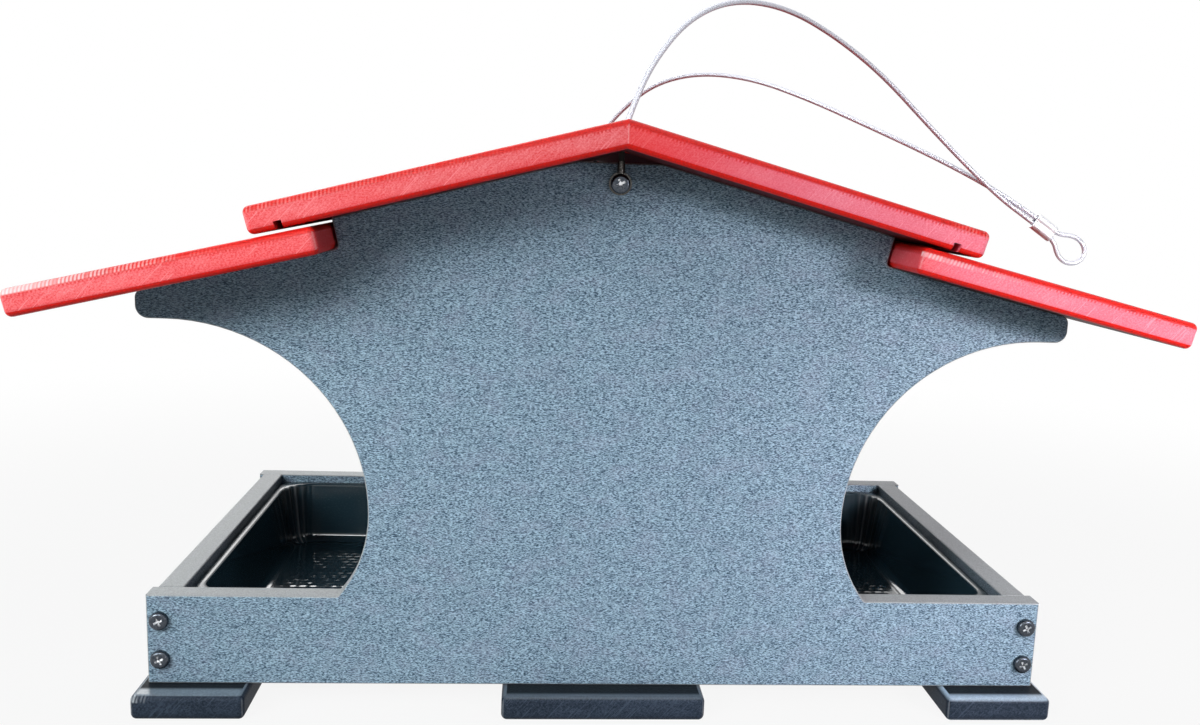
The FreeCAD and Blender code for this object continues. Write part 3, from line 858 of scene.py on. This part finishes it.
@dataclass
class HangingCable:
    """Coated wire cable from the front terminal through the ferrule, round the eye and to the rear one."""

    diameter: float = 2.8 * MM
    length: float = 0.812
    lay: float = 13.0 * MM
    sides: int = 24
    smoothness: int = 24

    ROUTE = (
        (0.0, -129.4, 278.9), (0.0, -129.4, 289.0), (4.0, -128.1, 303.0), (14.0, -117.8, 326.0),
        (32.5, -102.9, 349.5), (58.0, -82.8, 362.5), (90.0, -58.9, 363.0), (123.0, -36.9, 352.2),
        (156.0, -19.0, 334.5), (188.0, -7.5, 309.0), (217.0, -2.5, 285.0), (239.0, -1.6, 267.5),
        (256.8, 0.0, 256.5), (274.2, 0.0, 244.8),
        (277.5, 0.0, 234.7), (284.0, 0.0, 230.1), (291.5, 0.0, 231.1), (295.1, 0.0, 237.0),
        (292.5, 0.0, 243.5), (286.0, 0.0, 247.4),
        (276.1, 0.0, 247.6), (258.7, 0.0, 259.3),
        (240.0, 1.6, 270.5), (217.0, 2.5, 282.0), (190.0, 7.0, 294.5), (158.0, 18.5, 309.0),
        (125.0, 36.0, 324.5), (93.0, 57.0, 337.0), (62.0, 80.0, 341.0), (36.0, 101.0, 334.5),
        (17.0, 118.4, 318.5), (4.0, 128.1, 302.5), (0.0, 129.4, 289.0), (0.0, 129.4, 278.9),
    )

    def line(self) -> np.ndarray:
        """Smooth line of the cable: an even quadratic spline with the route's points as its control points.

        A place on it is three control points in a row, weighted by half the square of what is left of the
        step, by a half plus the step less its square, and by half the square of the step. Both outer points
        are mirrored outward first, so that the line begins and ends on the route's own.

        Returns:
            Points along the spline, one row each, in metres.
        """
        points = MM * np.array(self.ROUTE)
        points[[0, -1]] = 2 * points[[0, -1]] - points[[1, -2]]
        place = np.linspace(0.0, len(points) - 2, self.smoothness * (len(points) - 1))
        first = np.minimum(place.astype(int), len(points) - 3)
        step = (place - first)[:, None]
        weights = ((1 - step) ** 2 / 2, 0.5 + step - step ** 2, step ** 2 / 2)
        return sum(weight * points[first + later] for later, weight in enumerate(weights))

    def jacket(self, path: np.ndarray) -> Piece:
        """Round jacket along the line, with a map of the turn round it and the run along it.

        A corner is the line's point plus the radius times the cosine and the sine of its turn along two cross
        directions: the part of Y that is square to the line, and its product with the line's direction.

        Args:
            path: the cable's line.

        Returns:
            The piece.
        """
        turn = np.linspace(0.0, 2 * math.pi, self.sides, endpoint=False)[:, None]
        wide, high = self.diameter / 2 * np.cos(turn), self.diameter / 2 * np.sin(turn)
        ahead = np.gradient(path, axis=0)
        ahead /= np.linalg.norm(ahead, axis=1, keepdims=True)
        level = np.array(Axis.Y.value)
        across = level - ahead * (ahead @ level)[:, None]
        across /= np.linalg.norm(across, axis=1, keepdims=True)
        over = np.cross(ahead, across)
        points = path[:, None] + wide * across[:, None] + high * over[:, None]
        index = np.arange(len(path) * self.sides).reshape(len(path), -1)
        faces = cells(closed(index)).tolist() + [index[0, ::-1].tolist(), index[-1].tolist()]
        piece = make_object("cable_jacket", points.reshape(-1, 3), faces)
        run = np.concatenate([[0.0], np.cumsum(np.linalg.norm(np.diff(path, axis=0), axis=1))]) / self.lay
        maps = np.stack(np.meshgrid(np.arange(self.sides + 1) / self.sides, run), axis=-1).reshape(-1, 2)
        corners = cells(np.arange(len(maps)).reshape(len(path), -1)).ravel()
        wound = np.zeros((len(piece.data.loops), 2))
        wound[:len(corners)] = maps[corners]
        piece.data.uv_layers.new(name=TWIST).data.foreach_set("uv", wound.ravel())
        return piece

    def build(self, ferrule: Piece) -> Piece:
        """Make and dress the cable.

        Args:
            ferrule: the sleeve on it; not used.

        Returns:
            The piece.
        """
        path = self.line()
        piece = self.jacket(path)
        piece.data.materials.append(VinylJacket().material())
        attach(piece, "frame")
        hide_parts("hanging_cable")
        return piece


@dataclass
class CableFerrule:
    """Pressed aluminium sleeve that holds two runs of the cable side by side."""

    middle: Triple = (267.3 * MM, 0.0, 251.5 * MM)
    dip: float = math.radians(34.0)
    length: float = 15.0 * MM
    width: float = 10.2 * MM
    thick: float = 6.6 * MM
    bore_width: float = 6.6 * MM
    bore_thick: float = 3.2 * MM
    flare: float = 0.7 * MM
    flare_power: int = 4
    rim: float = 0.7 * MM
    waist: float = 0.30
    waist_reach: float = 0.30
    squareness: float = 0.78
    sides: int = 64
    rim_rings: int = 6
    bore_rings: int = 11

    def section(self, width: np.ndarray, thick: np.ndarray, waist: float) -> np.ndarray:
        """Ovals whose long sides dip in the middle.

        A corner at turn t is half the thickness times a power of its sine, and half the width times a power
        of its cosine; the thickness shrinks by the waist where the corner is near the middle of the width.

        Args:
            width: full width of each oval.
            thick: full thickness of each oval.
            waist: share of the thickness that the dip takes.

        Returns:
            (ovals, corners, 2) offsets across the sleeve's two cross directions.
        """
        turn = np.linspace(0.0, 2 * math.pi, self.sides, endpoint=False)
        parts = (np.cos(turn), np.sin(turn))
        wide, deep = (np.sign(part) * np.abs(part) ** self.squareness for part in parts)
        dip = 1.0 - waist * np.exp(-(wide / self.waist_reach) ** 2)
        return np.stack([thick[:, None] / 2 * deep * dip, width[:, None] / 2 * wide], axis=-1)

    def build(self) -> Piece:
        """Make and dress the sleeve.

        Its outline runs along the outside from end to end with rounded rims, and back through a bore that
        flares at both mouths.

        Returns:
            The piece.
        """
        turn = np.linspace(0.0, math.pi / 2, self.rim_rings)
        half = self.length / 2
        start = -half + self.rim * (1 - np.cos(turn))
        cut = self.rim * (1 - np.sin(turn))
        middle = np.linspace(self.rim - half, half - self.rim, self.rim_rings + 3)[1:-1]
        outer = np.concatenate([start, middle, -start[::-1]])
        outer_cut = np.concatenate([cut, np.zeros(len(middle)), cut[::-1]])
        bore = np.linspace(half, -half, self.bore_rings)
        mouth = self.flare * np.abs(bore / half) ** self.flare_power
        sections = np.concatenate([
            self.section(self.width - 2 * outer_cut, self.thick - 2 * outer_cut, self.waist),
            self.section(self.bore_width + 2 * mouth, self.bore_thick + 2 * mouth, 0.0),
        ])
        place = np.concatenate([outer, bore])
        ahead = np.array((math.cos(self.dip), 0.0, -math.sin(self.dip)))
        across = np.array((math.sin(self.dip), 0.0, math.cos(self.dip)))
        points = (np.array(self.middle) + place[:, None, None] * ahead
                  + sections[..., :1] * np.array(Axis.Y.value) + sections[..., 1:] * across)
        index = np.arange(len(place) * self.sides).reshape(len(place), -1)
        faces = cells(closed(closed(index).T)).tolist()
        piece = make_object("pressed_ferrule", points.reshape(-1, 3), faces)
        metal = PlatedSteel("pressed_aluminium", (0.66, 0.67, 0.70), (0.75, 0.75, 0.78), 0.60, 0.9 * MM)
        piece.data.materials.append(metal.material())
        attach(piece, "frame")
        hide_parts("cable_ferrule")
        return piece


@dataclass
class SeedTray:
    """Lift-out tray: fluted corners, rolled lip and a floor with rows of small bumps."""

    wall: float = 1.6 * MM
    floor: float = 2.4 * MM
    lip: float = 2.4 * MM
    lip_round: float = 0.75 * MM
    lip_inner_round: float = 1.8 * MM
    lip_corner: float = 12.0 * MM
    draft: float = 5.0 * MM
    foot: float = 6.5 * MM
    foot_turn: float = math.radians(82.0)
    corner: float = 21.0 * MM
    flutes: int = 5
    flute_depth: float = 1.1 * MM
    flute_growth: float = 1.25
    flute_fade: Pair = (1.7, 0.5)
    outer_flute: float = 0.9
    painted_crest_highlight_gain: float = 6.0
    cell: float = 1.12 * MM
    corner_cells: int = 17
    arc_steps: int = 8
    bump_pitch: float = 6.4 * MM
    bump_row: float = 5.6 * MM
    bump_half: Pair = (2.5 * MM, 1.7 * MM)
    bump_height: float = 0.14 * MM
    bump_least: float = 0.2
    bump_margin: float = 3.0 * MM
    bump_mix: Triple = (12.9898, 78.233, 43758.5453)

    def lines(self, half: float, corner: float) -> np.ndarray:
        """Grid lines along one side: even cells between the corners and finer ones inside them.

        Args:
            half: half of the side.
            corner: radius of its corners.

        Returns:
            Places of the lines from the low end to the high end.
        """
        inner = half - corner
        count = max(2, round(2 * inner / self.cell))
        ends = np.linspace(inner, half, self.corner_cells + 1)
        return np.concatenate([-ends[::-1], np.linspace(-inner, inner, count + 1)[1:-1], ends])

    def plan(self, half: Pair, corner: float) -> tuple[np.ndarray, np.ndarray, np.ndarray]:
        """Floor seen from above as a grid whose corner squares are bent into quarter discs.

        In a corner square the larger of the two offsets is the radius, and their ratio gives the angle. The
        flutes are the size of a sine of the angle, and fade towards both ends of the corner.

        Args:
            half: half length and half width of the floor.
            corner: radius of its corners.

        Returns:
            (rows, columns, 2) places, outward directions and how far each place is into a flute, from 0 to 1.
        """
        grid = np.stack(np.meshgrid(*(self.lines(side, corner) for side in half)), axis=-1)
        inner = np.array(half) - corner
        middle = np.clip(grid, -inner, inner)
        offset = grid - middle
        reach = np.abs(offset)
        radius = reach.max(axis=-1)
        tiny = 1e-9
        turn = np.where(radius > 0, reach.min(axis=-1) / np.maximum(radius, tiny), 0.0) * math.pi / 4
        angle = np.where(reach[..., 0] >= reach[..., 1], turn, math.pi / 2 - turn)
        outward = np.stack([np.cos(angle), np.sin(angle)], axis=-1) * np.sign(offset)
        outward = np.where(radius[..., None] > 0, outward, 0.0)
        inside = (reach > 0).all(axis=-1)
        gain, cut = self.flute_fade
        within = np.clip(gain * np.sin(2 * angle) - cut, 0.0, 1.0)
        flute = np.where(inside, within * np.abs(np.sin(2 * self.flutes * angle)), 0.0)
        return middle + radius[..., None] * outward, outward, flute

    def bumps(self, places: np.ndarray, clear: np.ndarray) -> np.ndarray:
        """Height of the floor's bumps: a long dome on every point of a lattice with every second row shifted.

        Each dome keeps between the least share and all of the height, by the fraction of a large multiple
        of a sine of its row and column.

        Args:
            places: (rows, columns, 2) places on the floor.
            clear: share of the bumps' height that is kept at each place.

        Returns:
            Heights over the flat floor.
        """
        row = np.round(places[..., 1] / self.bump_row)
        shift = 0.5 * (row % 2)
        column = np.round(places[..., 0] / self.bump_pitch - shift) + shift
        off = places - np.stack([column * self.bump_pitch, row * self.bump_row], axis=-1)
        dome = np.clip(1.0 - ((off / np.array(self.bump_half)) ** 2).sum(axis=-1), 0.0, None)
        by_row, by_column, large = self.bump_mix
        fraction = np.mod(np.sin(by_row * row + by_column * column) * large, 1.0)
        uneven = self.bump_least + (1.0 - self.bump_least) * fraction
        return self.bump_height * uneven * clear * dome * (2.0 - dome)

    def profile(self, low: float, high: float) -> list[np.ndarray]:
        """Closed lines of the wall, from the floor's edge over the lip and down the outside to the bottom.

        The foot and both edges of the lip are arcs; the flutes grow out of the foot and end in the inner arc.

        Args:
            low: height of the tray's underside.
            high: height of its lip.

        Returns:
            The lines' distances out from the floor's edge, heights, shares of the flutes' depth, and whether
            they turn the lip's tighter corners.
        """
        count = self.arc_steps + 1
        foot, lip = np.linspace(0.0, self.foot_turn, count)[1:], np.linspace(0.0, math.pi, count)
        wall, inner = np.linspace(0.0, 1.0, count)[1:-1], np.linspace(0.0, math.pi / 2, count - 2)
        foot_rise = low + self.floor + self.foot * (1 - np.cos(foot))
        wall_out, wall_top = self.foot + self.draft, high - self.lip_inner_round
        lip_out = wall_out + self.wall + self.lip
        parts = (
            (self.foot * np.sin(foot), foot_rise, np.minimum(1.0, self.flute_growth * np.sin(foot)), False),
            (self.foot + wall * self.draft, foot_rise[-1] + wall * (wall_top - foot_rise[-1]), 1.0, False),
            (wall_out + self.lip_inner_round * (1 - np.cos(inner)),
             wall_top + self.lip_inner_round * np.sin(inner), np.cos(inner), False),
            (lip_out - self.lip_round * (1 - np.sin(lip)),
             high - self.lip_round * (1 - np.cos(lip)), 0.0, True),
            (wall_out + self.wall, high - 2 * self.lip_round, self.outer_flute, False),
            (self.foot + self.wall, low + self.foot, 1.0, False),
            (0.5 * self.foot + self.wall, low, 1.0, False),
        )
        rows = (np.broadcast_arrays(*map(np.atleast_1d, part)) for part in parts)
        return [np.concatenate(column) for column in zip(*rows)]

    def build(self) -> Piece:
        """Make and dress the tray.

        Returns:
            The piece.
        """
        low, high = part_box("seed_tray")
        inset = self.foot + self.draft + self.wall + self.lip
        half = (high.x - inset, high.y - inset)
        corner = self.corner - self.wall - self.draft - self.foot
        places, outward, flute = self.plan(half, corner)
        edge = (np.array(half) - np.abs(places)).min(axis=-1)
        clear = np.clip((edge - self.bump_margin) / self.bump_margin, 0.0, 1.0)
        heights = low.z + self.floor + self.bumps(places, clear)
        floor = np.concatenate([places, heights[..., None]], axis=-1).reshape(-1, 3)
        index = np.arange(len(floor)).reshape(heights.shape)
        rim = np.concatenate([index[0, :-1], index[:-1, -1], index[-1, :0:-1], index[:0:-1, 0]])
        base, away, fluted = places.reshape(-1, 2)[rim], outward.reshape(-1, 2)[rim], flute.ravel()[rim]
        tighter = inset + corner - self.lip_corner
        lip_base = base + np.sign(away) * tighter - away * tighter
        out, height, share, on_lip = (row[:, None, None] for row in self.profile(low.z, high.z))
        plan = np.where(on_lip, lip_base, base) + away * (out - share * self.flute_depth * fluted[:, None])
        walls = np.concatenate([plan, np.broadcast_to(height, (*plan.shape[:2], 1))], axis=-1).reshape(-1, 3)
        lines = np.vstack([rim, len(floor) + np.arange(len(walls)).reshape(len(plan), -1)])
        faces = np.concatenate([cells(index), cells(closed(lines).T)]).tolist() + [lines[-1, ::-1].tolist()]
        piece = make_object("moulded_seed_tray", np.concatenate([floor, walls]), faces)
        # Painted highlight along the flutes' crests, none on the floor.
        painted_crest_highlight = share[:, 0] * np.clip(self.painted_crest_highlight_gain * fluted - (self.painted_crest_highlight_gain - 1.0), 0.0, 1.0)
        painted_crest_highlight = np.concatenate([np.zeros(len(floor)), painted_crest_highlight.ravel()])
        piece.data.attributes.new(PAINTED_CREST_HIGHLIGHT, "FLOAT", "POINT").data.foreach_set("value", painted_crest_highlight)
        piece.data.materials.append(GlossyTray(high.z - self.lip_inner_round).material())
        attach(piece, "tray")
        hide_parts("seed_tray")
        return piece


@dataclass
class Framework:
    """Panels, rails, roof boards, runners and fasteners, which keep their own shapes and get finishes."""

    upper_slope: float = math.radians(14.8)
    lower_slope: float = math.radians(13.45)
    head_half: float = 4.7 * MM
    # The rails' darker sheet tones are a painted shade.
    rail_shaded_dark: Colour = (0.017, 0.036, 0.055)
    rail_shaded_light: Colour = (0.21, 0.27, 0.32)

    # The right boards' CoolSheen is a painted sheen of cool light on their sawn faces.
    ROOF = {
        ("upper", Side.LEFT): (SawMarks(-0.100, 0.060, 0.16), CoolSheen()),
        ("upper", Side.RIGHT): (SawMarks(0.105, 0.072, 0.30), CoolSheen(-0.08, 0.07, 0.55, 0.24)),
        ("lower", Side.LEFT): (SawMarks(-0.222, -0.105, 0.9, deep=2.7 * MM), CoolSheen()),
        ("lower", Side.RIGHT): (SawMarks(0.070, 0.150, 0.75, 2.4 * MM, 4.6 * MM),
                                CoolSheen(0.05, 0.10, 0.0, 0.22)),
    }
    # Pale saw strokes at the left runner's outer corner, standing in for a painted highlight there.
    RUNNER_CORNER_HIGHLIGHT = SawMarks(-0.236, -0.222, 0.9)
    # Painted reflection on the runners' noses; their routed tones are lit and shaded copies, palest on the
    # right.
    NOSE_SHEENS = {
        "left": dict(tones=BLACK, nose_sheen_from=131.5 * MM, sawn_full=0.80),
        "centre": dict(tones=replace(BLACK, routed_dark=(0.050, 0.065, 0.085), routed=(0.080, 0.105, 0.135)),
                       nose_sheen_from=136.0 * MM, sawn_full=0.50),
        "right": dict(tones=replace(BLACK, routed_dark=(0.28, 0.36, 0.45), routed=(0.42, 0.53, 0.65)),
                      nose_sheen_from=135.0 * MM, sawn_full=0.35),
    }

    def dress(self, node: str, material: Material) -> None:
        """Give a node its finish.

        Args:
            node: name of the node.
            material: its finish.
        """
        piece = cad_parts[node]
        piece.data.materials.clear()
        piece.data.materials.append(material)
        LOG.info("dressed %s with %s", node, material.name)

    def top_of(self, node: str, lean: float) -> float:
        """Height of a leaning board's top face.

        Args:
            node: name of the board.
            lean: its turn about Y, in radians.

        Returns:
            Distance from the origin to the face, along its normal.
        """
        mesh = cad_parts[node].data
        points = np.zeros(len(mesh.vertices) * 3)
        mesh.vertices.foreach_get("co", points)
        return float((points.reshape(-1, 3) @ np.array((math.sin(lean), 0.0, math.cos(lean)))).max())

    def dress_boards(self) -> None:
        """Red boards on the roof and black ones underneath."""
        for (level, side), (marks, cool_sheen) in self.ROOF.items():
            where = side.name.lower()
            node = f"{level}_roof_{where}"
            lean = side.value * (self.upper_slope if level == "upper" else self.lower_slope)
            board = SawnBoard(f"red_board_{level}_{where}", RED, lean, self.top_of(node, lean), marks, cool_sheen)
            self.dress(node, board.material())
        for place, nose_sheen in self.NOSE_SHEENS.items():
            node = f"{place}_runner"
            top = self.top_of(node, 0.0)
            board = SawnBoard(f"black_board_{place}", lean=0.0, top=top, marks=self.RUNNER_CORNER_HIGHLIGHT,
                              tooth_share=0.0, seam_share=0.0, sawn_below=0.95, **nose_sheen)
            self.dress(node, board.material())

    def dress_plain(self) -> None:
        """Grey sheet on panels and rails, metal on screws and terminals, by the first word that fits."""
        finishes = {
            "panel": StippledSheet("grey_stippled_panel", Axis.Y, Axis.X),
            "rail": StippledSheet("grey_stippled_rail", Axis.X, Axis.Y, self.rail_shaded_dark, self.rail_shaded_light),
        }
        for word in ("corner_screws", "hanger_screw"):
            low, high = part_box(f"{word}_front")
            finishes[word] = CrossHead(f"plated_{word}", high.x - self.head_half, (low.z + high.z) / 2,
                                       (high.z - low.z) / 2 - self.head_half, -low.y)
        finishes |= {
            "screw": PlatedSteel("plated_screw_steel", (0.075, 0.080, 0.085), (0.17, 0.175, 0.18), 0.30),
            "terminal": PlatedSteel("tinned_terminal", (0.045, 0.045, 0.042), (0.13, 0.122, 0.115), 0.36),
        }
        materials = {word: finish.material() for word, finish in finishes.items()}
        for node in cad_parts:
            word = next((word for word in materials if word in node), None)
            if word is not None:
                self.dress(node, materials[word])

    def build(self) -> None:
        """Dress every node that keeps its shape."""
        self.dress_boards()
        self.dress_plain()


def main() -> None:
    """Build the camera, the studio and every piece in order."""
    logging.basicConfig(level=logging.INFO, format="%(name)s: %(message)s")
    bpy.context.scene.view_settings.view_transform = "Standard"
    PhotoCamera().build()
    Studio().build()
    ferrule = CableFerrule().build()
    for piece in (HangingCable().build(ferrule), ferrule, SeedTray().build()):
        LOG.info("built %s with %d faces", piece.name, len(piece.data.polygons))
    Framework().build()


if __name__ == "__main__":
    main()
